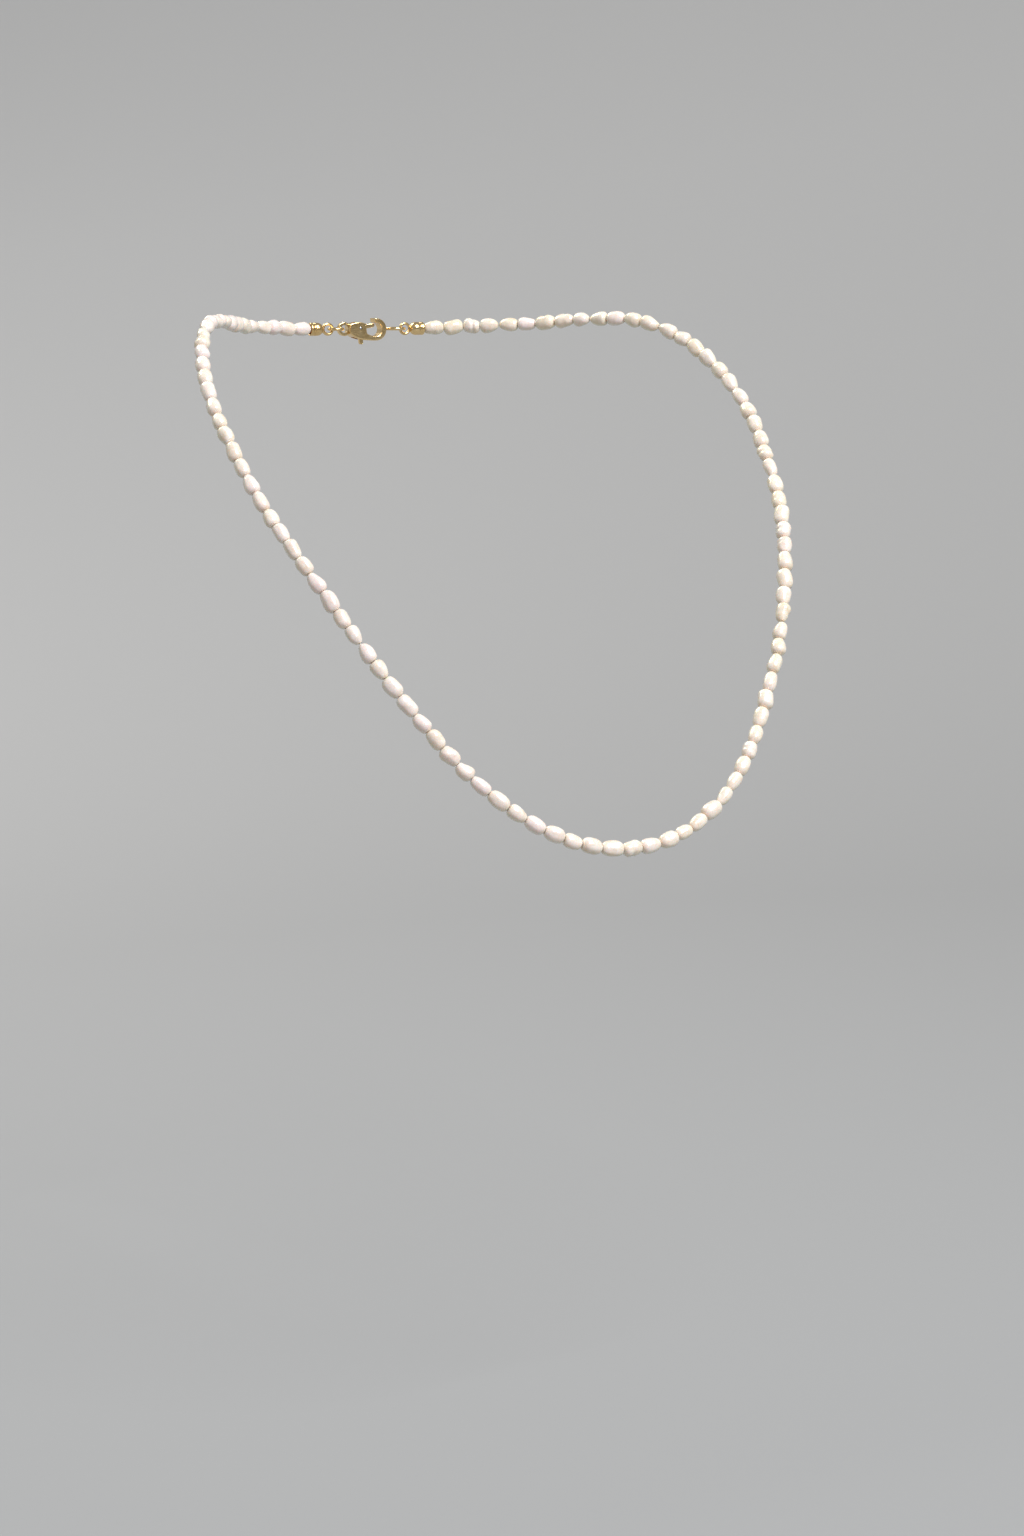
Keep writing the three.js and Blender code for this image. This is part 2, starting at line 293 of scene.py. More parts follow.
def nacre_material():
    """Freshwater nacre: cream that drifts to rose and pale gold, with satin growth lines under a gloss."""
    n = Nodes("nacre")
    tint = n.add("ShaderNodeAttribute", attribute_name="tint")
    split = n.add("ShaderNodeSeparateColor", {"Color": tint.outputs["Color"]})
    rosy, golden, seed = split.outputs[0], split.outputs[1], split.outputs[2]
    along = n.add("ShaderNodeAttribute", attribute_name="along").outputs["Fac"]

    drift = n.noise(420, detail=3, distortion=0.6)
    creams = (0.3, (0.66, 0.54, 0.40)), (0.5, (0.75, 0.66, 0.56)), (0.7, (0.79, 0.73, 0.67))
    body = n.ramp(drift, *creams)
    rose = n.mix(n.math("MULTIPLY", rosy, 0.75), body, (0.80, 0.65, 0.66))
    gold = n.mix(n.math("MULTIPLY", golden, 0.7), rose, (0.73, 0.62, 0.40))
    clouds = n.ramp(n.noise(1300, detail=4, distortion=1.2), (0.35, 0.0), (0.65, 1.0))
    milky = n.mix(n.math("MULTIPLY", clouds, 0.35), gold, (0.90, 0.88, 0.87))

    wobble = n.math("MULTIPLY", n.noise(700, detail=2), 0.35)
    place = n.math("ADD", n.math("ADD", along, wobble), seed)
    ring_place = n.add("ShaderNodeCombineXYZ", {"X": place})
    rings = n.add(
        "ShaderNodeTexWave",
        {"Vector": ring_place.outputs[0], "Scale": 5.5, "Distortion": 1.5, "Detail": 3},
        wave_type="BANDS",
        bands_direction="X",
    ).outputs["Fac"]
    ringed = n.mix(n.math("MULTIPLY", rings, 0.07), milky, (0.62, 0.54, 0.46))

    wrinkles = n.bump(n.noise(900, detail=3, distortion=0.8), strength=0.35, distance=0.00012)
    patches = n.ramp(n.noise(800, detail=1), (0.4, 0.0), (0.65, 1.0))
    ridges = n.math("MULTIPLY", rings, patches)
    growth = n.bump(ridges, strength=0.06, distance=0.00005, normal=wrinkles)
    grain = n.bump(n.noise(5200, detail=3), strength=0.10, distance=0.00002, normal=growth)
    n.set(
        Base_Color=ringed,
        Roughness=n.ramp(n.noise(1500, detail=3), (0.3, 0.16), (0.7, 0.28)),
        IOR=1.95,
        Normal=grain,
        Subsurface_Weight=0.22,
        Subsurface_Radius=(1.0, 0.62, 0.42),
        Subsurface_Scale=0.0006,
        Coat_Weight=0.5,
        Coat_Roughness=0.07,
        Coat_IOR=1.5,
        Sheen_Weight=0.08,
        Sheen_Roughness=0.4,
        Sheen_Tint=(0.98, 0.86, 0.92, 1),
        Thin_Film_Thickness=368.0,
        Thin_Film_IOR=1.72,
    )
    return n.material


def gold_material():
    """Polished gold plate with fine rubbing marks and a slightly deeper tone in patches."""
    n = Nodes("gold")
    tone = n.noise(260, detail=4, distortion=0.5)
    golds = (0.3, (0.78, 0.54, 0.24)), (0.55, (0.88, 0.65, 0.33)), (0.75, (0.93, 0.73, 0.42))
    streaks = n.add("ShaderNodeMapping", {"Vector": n.place, "Scale": (1, 6, 9)})
    rubbed = n.noise(900, detail=5, distortion=0.3, vector=streaks.outputs[0])
    worn = n.bump(n.noise(1100), strength=0.15, distance=0.00004)
    n.set(
        Base_Color=n.ramp(tone, *golds),
        Metallic=1.0,
        Roughness=n.ramp(rubbed, (0.3, 0.13), (0.7, 0.30)),
        Normal=n.bump(rubbed, strength=0.12, distance=0.00002, normal=worn),
    )
    return n.material


def steel_material():
    """Bright drawn steel, with lines along Y, the way that the rivet runs."""
    n = Nodes("steel")
    drawn = n.add("ShaderNodeMapping", {"Vector": n.place, "Scale": (12, 1, 12)})
    lines = n.noise(1200, detail=4, vector=drawn.outputs[0])
    n.set(
        Base_Color=n.ramp(lines, (0.3, (0.50, 0.51, 0.53)), (0.7, (0.70, 0.71, 0.73))),
        Metallic=1.0,
        Roughness=n.ramp(lines, (0.3, 0.22), (0.7, 0.38)),
        Normal=n.bump(lines, strength=0.2, distance=0.00001),
    )
    return n.material


def silk_material():
    """Off-white silk: matt, uneven fibres with a little sheen."""
    n = Nodes("silk")
    fine = n.noise(15000, detail=5, distortion=1.0)
    n.set(
        Base_Color=n.ramp(fine, (0.3, (0.66, 0.60, 0.50)), (0.7, (0.86, 0.83, 0.76))),
        Roughness=n.ramp(fine, (0.3, 0.55), (0.7, 0.8)),
        Sheen_Weight=0.4,
        Sheen_Roughness=0.5,
        Normal=n.bump(fine, strength=0.5, distance=0.00003),
    )
    return n.material


NACRE = nacre_material()
GOLD = gold_material()
STEEL = steel_material()
SILK = silk_material()

# ---------------------------------------------------------------- meshes

SHARP_ANGLE = math.radians(38)  # an edge that turns more than this is drawn sharp


def grid_faces(rows, columns, closed_rows=False):
    """Quads over a grid of points, joined round each row.

    closed_rows also joins the last row to the first.
    """
    faces = []
    for row in range(rows if closed_rows else rows - 1):
        here, above = row * columns, (row + 1) % rows * columns
        for column in range(columns):
            beside = (column + 1) % columns
            faces.append((here + column, here + beside, above + beside, above + column))
    return faces


def add_piece(name, points, faces, material, floats=None, colours=None):
    """A smooth, closed mesh piece from points in mm."""
    mesh = bpy.data.meshes.new(name)
    mesh.from_pydata([tuple(c * MM for c in p) for p in points], [], faces)
    return add_mesh(name, mesh, material, floats, colours)


def add_mesh(name, mesh, material, floats=None, colours=None):
    """A smooth piece from a mesh, sharp only at its sharp edges.

    floats holds attributes with a number for each point, and colours those with one colour for all points.
    """
    shaped = bmesh.new()
    shaped.from_mesh(mesh)
    bmesh.ops.recalc_face_normals(shaped, faces=shaped.faces)
    for edge in shaped.edges:
        edge.smooth = edge.calc_face_angle(0) < SHARP_ANGLE
    for face in shaped.faces:
        face.smooth = True
    shaped.to_mesh(mesh)
    shaped.free()
    for label, values in (floats or {}).items():
        attribute = mesh.attributes.new(label, "FLOAT", "POINT")
        attribute.data.foreach_set("value", np.array(values, np.float32))
    for label, value in (colours or {}).items():
        attribute = mesh.attributes.new(label, "FLOAT_COLOR", "POINT")
        everywhere = np.tile(np.float32([*value, 1]), len(mesh.vertices))
        attribute.data.foreach_set("color", everywhere)
    mesh.materials.clear()
    mesh.materials.append(material)
    piece = bpy.data.objects.new(name, mesh)
    bpy.context.scene.collection.objects.link(piece)
    return piece


def hold(made, body, node):
    """The piece moves with a body, and stands for one of its nodes."""
    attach(made, body)
    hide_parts(node)


def lathe(outline, sides, closed=True):
    """Points and faces of an outline of (radius, height) turned about Z. A radius of 0 is one point.

    closed joins the outline's end to its start. Two points in a row on the axis have nothing between them.
    """
    points, rows = [], []
    for radius, height in outline:
        rows.append(len(points))
        for i in range(sides if radius else 1):
            a = TURN * i / sides
            points.append((radius * math.cos(a), radius * math.sin(a), height))
    faces = []
    count = len(outline)
    for k in range(count if closed else count - 1):
        following = (k + 1) % count
        a, b = rows[k], rows[following]
        a_round, b_round = outline[k][0] != 0, outline[following][0] != 0
        for i in range(sides if a_round or b_round else 0):
            j = (i + 1) % sides
            if not a_round:
                faces.append((a, b + j, b + i))
            elif not b_round:
                faces.append((a + i, a + j, b))
            else:
                faces.append((a + i, a + j, b + j, b + i))
    return points, faces


def frames_along(path):
    """An across and an upward direction at each point of a path, carried along it without twist."""
    count = len(path)
    tangents = [
        (path[min(i + 1, count - 1)] - path[max(i - 1, 0)]).normalized() for i in range(count)
    ]
    nearly_upright = abs(tangents[0].z) >= 0.9
    helper = Vector((1, 0, 0)) if nearly_upright else Vector((0, 0, 1))
    across = tangents[0].cross(helper).normalized()
    frames = []
    for i, tangent in enumerate(tangents):
        if i:
            across = tangents[i - 1].rotation_difference(tangent) @ across
        frames.append((across, tangent.cross(across)))
    return frames


def tube(path, radius, sides):
    """Points and faces of a tube with pointed ends.

    radius is a number, or a function of a path point's number and an angle round it.
    """
    points = []
    count = len(path)
    for i, ((across, upward), centre) in enumerate(zip(frames_along(path), path)):
        for k in range(sides):
            a = TURN * k / sides
            r = radius(i, a) if callable(radius) else radius
            points.append(centre + (across * math.cos(a) + upward * math.sin(a)) * r)
    faces = grid_faces(count, sides)
    for end, before in ((0, 1), (count - 1, count - 2)):
        row = [end * sides + k for k in range(sides)]
        outward = (path[end] - path[before]).normalized()
        end_radius = sum((points[k] - path[end]).length for k in row) / sides
        points.append(path[end] + outward * end_radius / 2)
        tip = len(points) - 1
        faces += [(row[k], row[(k + 1) % sides], tip) for k in range(sides)]
    return points, faces


# ---------------------------------------------------------------- pearls

PEARL_RADIUS = 1.6
PEARL_ROWS = 30
PEARL_SIDES = 32
BORE_RADIUS = 0.26
BORE_MOUTH = 0.33
BORE_INSET = 0.05  # how far inside the pearl's ends the bore's edges lie
BORE_ROWS = 4
TOUCH_GAP = 0.006  # left at each end of a pearl where the strand is straight
TOUCH_RADIUS = 0.52  # how far from the thread two pearls meet first where the strand bends
TURNING_GAP = 0.15  # left at each end that meets another body

# A kind of pearl: how square its ends are and its taper, as ranges, how deep its waist is, and the size
# of its lumps and of the ripples round it. All but the first are shares of its radius.
Kind = namedtuple("Kind", "ends taper waist lumps ripples")
KINDS = {
    "rice": Kind((2.1, 2.7), (-0.1, 0.1), 0, 0.035, 0.004),
    "drop": Kind((2.1, 2.6), (0.14, 0.27), 0, 0.035, 0.006),
    "barrel": Kind((2.8, 3.6), (-0.06, 0.06), 0, 0.03, 0.006),
    "lobed": Kind((2.1, 2.7), (-0.12, 0.12), 0.15, 0.04, 0.006),
    "wrinkled": Kind((2.0, 2.8), (-0.15, 0.15), 0.05, 0.07, 0.009),
}
TAPER_WAYS = (-1, 1, 1)  # more pearls are thicker at their right end
# How often each kind comes, on the smoother left of the strand and on its right.
LEFT_KINDS = {"rice": 62, "drop": 11, "barrel": 14, "lobed": 5, "wrinkled": 8}
RIGHT_KINDS = {"rice": 50, "drop": 18, "barrel": 12, "lobed": 8, "wrinkled": 12}
FIRST_RIGHT = 47
# The pearls either side of the lowest one, where each shape shows: its kind, its girth and its taper.
SHAPES = {
    46: ("rice", 0.99, 0.04),
    47: ("rice", 0.96, -0.08),
    48: ("barrel", 1.01, 0.0),
    49: ("barrel", 1.02, 0.05),
    50: ("lobed", 0.97, 0.0),
    51: ("drop", 0.97, -0.18),
    52: ("wrinkled", 0.98, 0.06),
    53: ("rice", 0.84, -0.05),
    54: ("rice", 0.90, 0.08),
    55: ("rice", 1.07, -0.04),
    56: ("drop", 0.87, 0.20),
    57: ("drop", 0.90, 0.16),
    58: ("rice", 0.97, 0.0),
    59: ("wrinkled", 1.01, 0.05),
    60: ("rice", 0.92, 0.08),
    61: ("drop", 1.0, 0.11),
    62: ("barrel", 1.04, 0.0),
    63: ("rice", 0.93, -0.06),
    64: ("drop", 0.95, -0.1),
    65: ("drop", 1.02, -0.1),
}

GIRTH_SPREAD = (0.97, 1.05)
RIGHT_GIRTH = 1.06  # the pearls on the right are a little thicker
TURNING_END = 2.0  # squareness of an end that needs room to turn
TURNING_TAPER = 0.16  # towards that end
FULLNESS = {False: 2.3, True: 1.9}  # how boldly an end swells, by whether it needs room to turn
TAPER_SHRINK = 0.35  # keeps a tapered pearl about as thick as the rest

# How far a pearl's shape strays from round and straight, as shares of its radius.
WAIST_PLACE = (-0.2, 0.25)  # along the pearl, from -1 to 1
WAIST_WIDTH = 0.2
WAIST_DEPTH = (0.6, 0.4)  # all round it, and more on one side
OVAL = (0.0, 0.055)
FLAT = (0.0, 0.07)
LEAN = (0.02, 0.12)
LEAN_SCALE = 2.6  # brings the greatest shift to the lean's own size
BOW = (0.0, 0.07)
RIPPLE_COUNT = (7, 12)
RIPPLE_WARP = 1.5  # how far the lumps bend the ripples
LUMP_STRETCH = 1.7
LUMP_SIZES = ((1.3, 1.0), (3.1, 0.45))  # spacing and strength of the coarse and the fine lumps
FACETS = 0.045  # shallow creases and flats that run lengthways
FACET_ROUND = 2.4
FACET_ALONG = 0.6
NOISE_REACH = 50  # each pearl takes its lumps from its own place in the noise

# Each tint's mean and spread, and what is added on the left and on the right of the strand.
ROSE_TINT = (0.45, 0.25, 0.1, -0.2)
GOLD_TINT = (0.18, 0.2, 0.0, 0.2)


def bend_angle(distance):
    """The angle between the pearls either side of a place on the route."""
    middle = on_route(distance)
    return (middle - on_route(distance - PITCH)).angle(on_route(distance + PITCH) - middle)


def end_gap(turns, distance):
    """What is left free at a pearl's end. A bend in the strand brings two pearls' shoulders together."""
    return TURNING_GAP if turns else TOUCH_GAP + TOUCH_RADIUS * bend_angle(distance) / 2


def drawn(rng, spread):
    """A random amount, and the side that it faces."""
    return rng.uniform(*spread), rng.uniform(0, TURN)


def tint(rng, number, mean, spread, left, right):
    """How much of a tint one pearl has, from 0 to 1."""
    return min(1.0, max(0.0, rng.gauss(mean, spread) + (left if number < FIRST_RIGHT else right)))


class PearlShape:
    """The outside of one pearl along Z."""

    def __init__(self, rng, number, half, turning):
        self.half = half
        kinds = LEFT_KINDS if number < FIRST_RIGHT else RIGHT_KINDS
        self.kind = KINDS[rng.choices(list(kinds), list(kinds.values()))[0]]
        self.radius = PEARL_RADIUS * girth(number) * rng.uniform(*GIRTH_SPREAD)
        if number >= FIRST_RIGHT:
            self.radius *= RIGHT_GIRTH
        ends = [rng.uniform(*self.kind.ends) for _ in turning]
        self.ends = [TURNING_END if turns else square for turns, square in zip(turning, ends)]
        self.fullness = [FULLNESS[turns] for turns in turning]
        self.taper = rng.uniform(*self.kind.taper) * rng.choice(TAPER_WAYS)
        if number in SHAPES:
            name, thickness, self.taper = SHAPES[number]
            self.kind, self.radius = KINDS[name], PEARL_RADIUS * thickness
        if any(turning):
            self.taper = TURNING_TAPER if turning[0] else -TURNING_TAPER
        self.waist_at = rng.uniform(*WAIST_PLACE)
        self.waist_side = rng.uniform(0, TURN)
        self.oval, self.oval_side = drawn(rng, OVAL)
        self.flat, self.flat_side = drawn(rng, FLAT)
        self.lean, self.lean_side = drawn(rng, LEAN)
        self.bow, self.bow_side = drawn(rng, BOW)
        self.ripple_count, self.ripple_start = drawn(rng, RIPPLE_COUNT)
        self.place = Vector([rng.uniform(-NOISE_REACH, NOISE_REACH) for _ in range(3)])

    def thickness(self, s, a):
        """Its radius over its own girth, before the ends close."""
        middle = 1 - s**4  # what follows fades out towards the ends
        dip = math.exp(-(((s - self.waist_at) / WAIST_WIDTH) ** 2))
        dip *= WAIST_DEPTH[0] + WAIST_DEPTH[1] * math.cos(a - self.waist_side)
        shape = 1 + self.taper * s - self.kind.waist * dip
        shape += self.oval * math.cos(2 * (a - self.oval_side)) * middle
        shape -= self.flat * max(0.0, math.cos(a - self.flat_side)) ** 3 * middle
        spot = Vector((math.cos(a), math.sin(a), LUMP_STRETCH * s))
        lump = sum(strength * noise.noise(spot * size + self.place) for size, strength in LUMP_SIZES)
        shape += self.kind.lumps * lump * middle
        facet = Vector((FACET_ROUND * math.cos(a), FACET_ROUND * math.sin(a), FACET_ALONG * s))
        shape += FACETS * noise.noise(facet - self.place) * middle
        ripple = self.ripple_count * s * 2 + self.ripple_start + RIPPLE_WARP * lump
        shape += self.kind.ripples * math.sin(ripple) * middle
        return shape / (1 + abs(self.taper) * TAPER_SHRINK)

    def point(self, s, a):
        """The point at s, from -1 at its left end to 1 at its right, and at the angle a."""
        end = int(s > 0)
        swell = max(0.0, 1 - abs(s) ** self.ends[end]) ** (1 / self.fullness[end])
        r = BORE_MOUTH + (self.radius * self.thickness(s, a) - BORE_MOUTH) * swell
        shift = self.radius * (1 - s * s)
        lean = LEAN_SCALE * self.lean * s
        dx = shift * (lean * math.cos(self.lean_side) + self.bow * math.cos(self.bow_side))
        dy = shift * (lean * math.sin(self.lean_side) + self.bow * math.sin(self.bow_side))
        return Vector((r * math.cos(a) + dx, r * math.sin(a) + dy, s * self.half))


def pearl(number, start, end, turning):
    """One drilled pearl from one distance along the route to another.

    turning says which of its ends meet another body.
    """
    rng = random.Random(SEED + number)
    low, high = on_route(start), on_route(end)
    axis = (high - low).normalized()
    low += axis * end_gap(turning[0], start)
    high -= axis * end_gap(turning[1], end)
    centre, half = (low + high) / 2, (high - low).length / 2
    shape = PearlShape(rng, number, half, turning)

    angles = [TURN * k / PEARL_SIDES for k in range(PEARL_SIDES)]
    points, along = [], []
    for row in range(PEARL_ROWS):
        s = math.sin(math.pi * (row / (PEARL_ROWS - 1) - 0.5))
        points += [shape.point(s, a) for a in angles]
        along += [s] * PEARL_SIDES
    bore_half = half * (1 - BORE_INSET / half)
    for row in range(BORE_ROWS):
        s = 1 - 2 * row / (BORE_ROWS - 1)
        points += [
            Vector((BORE_RADIUS * math.cos(a), BORE_RADIUS * math.sin(a), s * bore_half)) for a in angles
        ]
        along += [s] * PEARL_SIDES

    turn = axis.to_track_quat("Z", "Y")
    placed = [centre + turn @ p for p in points]
    faces = grid_faces(PEARL_ROWS + BORE_ROWS, PEARL_SIDES, closed_rows=True)
    rosy = tint(rng, number, *ROSE_TINT)
    golden = tint(rng, number, *GOLD_TINT)
    return add_piece(
        f"pearl_{number + 1:03d}",
        placed,
        faces,
        NACRE,
        floats={"along": along},
        colours={"tint": (rosy, golden, rng.random())},
    )


def string_pearls():
    """Every pearl of the strand, from the left end to the right, and where each stretch starts."""
    number, distance = 0, -PEARL_COUNT * PITCH / 2
    starts = []
    for name, count, body in STRETCHES:
        starts.append(distance)
        shares = [length_share(number + i) for i in range(count)]
        length = count * PITCH
        places = [distance]
        for share in shares:
            places.append(places[-1] + share / sum(shares) * length)
        held_by = [
            f"{name}_pearls_{node + 1:02d}"
            for node, size in enumerate(node_sizes(count))
            for _ in range(size)
        ]
        for i in range(count):
            turning = (i == 0 and name != "left_tail", i == count - 1 and name != "right_tail")
            made = pearl(number + i, places[i], places[i + 1], turning)
            hold(made, body, held_by[i])
        number += count
        distance += length
    return starts


# ---------------------------------------------------------------- thread

THREAD_RADIUS = 0.15
PLY_DEPTH = 0.16  # how deep the grooves between the plies are, as a share of the radius
PLIES = 3
TWIST = 1.15  # length of one turn
THREAD_STEP = 0.16
THREAD_SIDES = 12
IN_CAP = 2.25
PAST_JOINT = 1.3  # how far a stretch of thread goes on past the joint that it crosses
THREAD_GAP = 0.2  # between the ends of two stretches of thread, inside a pearl
BEND = 0.35  # half of the length that the turn at a joint is measured over
# The joints that each stretch of thread crosses, at its start or end, with the bodies on their two sides.
CROSSINGS = {
    "left_tail": {"end": ("left_tail", "left_nape")},
    "left_nape": {"end": ("left_nape", "shoulder_stretches")},
    "left_shoulder": {},
    "left_side": {"start": ("shoulder_stretches", "front_sides")},
    "front": {"start": ("front_sides", "front_drop"), "end": ("front_drop", "front_sides")},
    "right_side": {"end": ("front_sides", "shoulder_stretches")},
    "right_shoulder": {},
    "right_nape": {"start": ("shoulder_stretches", "right_nape")},
    "right_tail": {"start": ("right_nape", "right_tail")},
}


def thread(name, start, end):
    """One stretch of twisted thread between two distances along the route."""
    count = max(4, round((end - start) / THREAD_STEP))
    path = [on_route(start + (end - start) * i / (count - 1)) for i in range(count)]

    def ply(i, a):
        turned = TURN * (end - start) * i / (count - 1) / TWIST
        return THREAD_RADIUS * (1 - PLY_DEPTH * (0.5 + 0.5 * math.cos(PLIES * (a - turned))) ** 2)

    points, faces = tube(path, ply, THREAD_SIDES)
    made = add_piece(f"{name}_silk", points, faces, SILK)
    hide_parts(f"{name}_thread")
    return made


def bend_at(made, distance, level):
    """Works out the middle and the step of the thread's turn at a joint, but bends nothing: it only bakes
    the thread's place into its mesh.

    level says that the thread crosses a joint at both of its ends, which are at one height; it takes X out
    of the middle and the step.
    """
    centre = on_route(distance)
    step = (on_route(distance + BEND) - on_route(distance - BEND)) / 2
    if level:
        step.x = 0
        centre.x = 0
    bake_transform(made)


def reach(in_cap, crosses):
    """How far a stretch of thread goes on past its pearls. It stops short where its neighbour crosses."""
    if in_cap:
        return IN_CAP
    return PAST_JOINT if crosses else -PAST_JOINT - THREAD_GAP


def string_thread(starts):
    """One length of thread for each stretch."""
    ends = [*starts[1:], -starts[0]]
    for (name, _, body), start, end in zip(STRETCHES, starts, ends):
        crossings = CROSSINGS[name]
        made = thread(
            name,
            start - reach(name == "left_tail", "start" in crossings),
            end + reach(name == "right_tail", "end" in crossings),
        )
        if not crossings:
            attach(made, body)
            continue
        side, (before, after) = next(iter(crossings.items()))
        bend_at(made, start if side == "start" else end, level=len(crossings) == 2)


# ---------------------------------------------------------------- clasp and rings, along X at the nape

CAP_LENGTH = 3.0
CAP_RADIUS = 1.4
CAP_WALL = 0.3
CAP_BARREL = 1.55  # the length of its straight part
CAP_BARREL_INSIDE = 1.5
CAP_LIP_PAST = 0.02  # how far outside the cup the middle of its rolled mouth lies
CAP_LINES = (0.5, 0.85)  # two turned lines, from the mouth
CAP_LINE = {"half_width": 0.09, "depth": 0.07}
CAP_SIDES = 56
CAP_EYE = {"ring": 1.1, "wire": 0.3, "from_cap": 1.15}
JUMP_RING = {"ring": 1.5, "wire": 0.35}
JUMP_RING_CUT = 0.02
JUMP_RING_CUT_AT = math.radians(112)
END_RING = {"ring": 1.95, "wire": 0.35}
EYE_PLAY = 0.07  # between a ring's wire and the eye that it hangs in
# Half of a crimp bead's outline, outside and in its bore, as (radius, distance from its middle).
CRIMP_OUTSIDE = [(0.68, 0), (0.75, 0.25), (0.72, 0.48), (0.6, 0.55)]
CRIMP_BORE = [(0.35, 0), (0.37, 0.55)]
CRIMP_FLATNESS = 0.94
CRIMP_SIDES = 28
CRIMP_IN_CAP = 1.4

CLASP = {
    "eye_outer": 1.45,
    "eye_hole": 0.8,
    "eye_thickness": 0.9,
    "thickness": 2.8,
    "slot": 1.7,
    "slot_reach": (2, 5.3),
    "hook": (7.15, -0.1),
    "hook_outer": 2.4,
    "hook_inner": 1.4,
    "hook_tip": 97,  # degrees
    "pivot": (3.4, 0.2),
    # The side view between the eye and the hook. A bend is the control point of a curve.
    "neck_below": (0.9, -1),
    "belly_bend": (2.2, -2.1),
    "belly": (4, -2.3),
    "hook_bend": (5.6, -2.5),
    "throat_bend": (5.6, -1.5),
    "throat": (4.9, -0.9),
    "back": (4.7, 1.1),
    "back_bend": (3.2, 1.9),
    "neck_above": (0.9, 1),
}
EYE_EASE = 0.04  # added to the radius of the eye's hole, so that the jump ring turns freely
PIN = {"radius": 0.3, "hole": 0.34, "lever_hole": 0.36, "dome": 0.14, "head_past": 0.08, "sides": 32}
LEVER = {
    "thickness": 0.8,
    "offset": -0.3,
    "hub": 0.8,
    "gate_end": (6.62, 0.78),
    "lug_end": (3.9, -2.9),
    "half_width": 0.42,
    "arm_inset": 0.02,  # how much thinner its two arms are than its hub
}
SPRING = {"ring": 0.62, "wire": 0.08, "turns": 2.5, "pitch": 0.19, "start": 0.22, "leg": 0.9}
SPRING_STEPS_PER_TURN = 28
SPRING_LEG_STEPS = 6
SPRING_SIDES = 10
# How a cast piece is evened and polished. The polishing makes it smaller, so it starts larger.
CLAW_CAST = {"voxel": 0.085, "rounds": 26, "shrink": 0.1}
EYE_CAST = {"voxel": 0.07, "rounds": 8, "shrink": 0.04}
LEVER_CAST = {"voxel": 0.06, "rounds": 8}
# How long each cutting shape is, which goes past the metal on both sides.
SLOT_CUT = 10
EYE_CUT = 4
PIN_CUT = 5
LEVER_CUT = 3

# Places along X from the middle of the nape, from the left cap to the right one.
CAP_MOUTH = CAP_TO_CAP / 2
CAP_EYE_AT = CAP_MOUTH - CAP_LENGTH - CAP_EYE["from_cap"]
# From the middle of a cap's eye to the middle of the wire that hangs in it.
HANG = CAP_EYE["ring"] - CAP_EYE["wire"] - JUMP_RING["wire"] - EYE_PLAY
JUMP_RING_AT = -CAP_EYE_AT + HANG + JUMP_RING["ring"]
CLASP_AT = JUMP_RING_AT + JUMP_RING["ring"] + CLASP["eye_hole"] - JUMP_RING["wire"] - EYE_PLAY
END_RING_AT = CAP_EYE_AT - HANG - END_RING["ring"]


def at_nape(points, u):
    """The points moved to the nape, and u mm along X from its middle."""
    return [Vector(p) + NAPE + Vector((u, 0, 0)) for p in points]


def wire_ring(radius, wire, along="Z", gap=0.0, steps=84, sides=20):
    """A ring of round wire about an axis. With a gap, in mm, its two square ends meet there."""
    open_angle = gap / radius
    count = steps + 1 if gap else steps
    points = []
    for i in range(count):
        a = open_angle / 2 + (TURN - open_angle) * i / steps
        for k in range(sides):
            b = TURN * k / sides
            r = radius + wire * math.cos(b)
            p = Vector((r * math.cos(a), r * math.sin(a), wire * math.sin(b)))
            points.append(p if along == "Z" else Vector((p.x, -p.z, p.y)))
    faces = grid_faces(count, sides, closed_rows=not gap)
    if gap:
        faces.append(tuple(range(sides))[::-1])
        faces.append(tuple((count - 1) * sides + k for k in range(sides)))
    return points, faces


def mm_object(points, faces):
    """A throwaway object in mm, for shaping."""
    mesh = bpy.data.meshes.new("shaping")
    mesh.from_pydata([tuple(p) for p in points], [], faces)
    shaped = bmesh.new()
    shaped.from_mesh(mesh)
    bmesh.ops.recalc_face_normals(shaped, faces=shaped.faces)
    shaped.to_mesh(mesh)
    shaped.free()
    made = bpy.data.objects.new("shaping", mesh)
    bpy.context.scene.collection.objects.link(made)
    return made


def apply_modifiers(obj):
    """Bakes the object's modifiers into its mesh."""
    graph = bpy.context.evaluated_depsgraph_get()
    graph.update()
    mesh = bpy.data.meshes.new_from_object(obj.evaluated_get(graph))
    obj.modifiers.clear()
    obj.data = mesh


def combine(obj, other, operation):
    """Boolean with another throwaway object, which goes away."""
    modifier = obj.modifiers.new("combine", "BOOLEAN")
    modifier.operation = operation
    modifier.solver = "EXACT"
    modifier.object = other
    apply_modifiers(obj)
    bpy.data.objects.remove(other)


def soften(obj, cast):
    """Makes an even mesh of an object and rounds its edges, as casting and polishing do."""
    remesh = obj.modifiers.new("remesh", "REMESH")
    remesh.mode = "VOXEL"
    remesh.voxel_size = cast["voxel"]
    apply_modifiers(obj)
    smooth = obj.modifiers.new("smooth", "SMOOTH")
    smooth.factor = 0.5
    smooth.iterations = cast["rounds"]
    apply_modifiers(obj)


def finished(obj, name, u, material):
    """The throwaway object's mesh as a finished piece at the nape, u mm along X."""
    mesh = obj.data
    mesh.transform(Matrix.Scale(MM, 4) @ Matrix.Translation(NAPE + Vector((u, 0, 0))))
    bpy.data.objects.remove(obj)
    mesh.name = name
    return add_mesh(name, mesh, material)


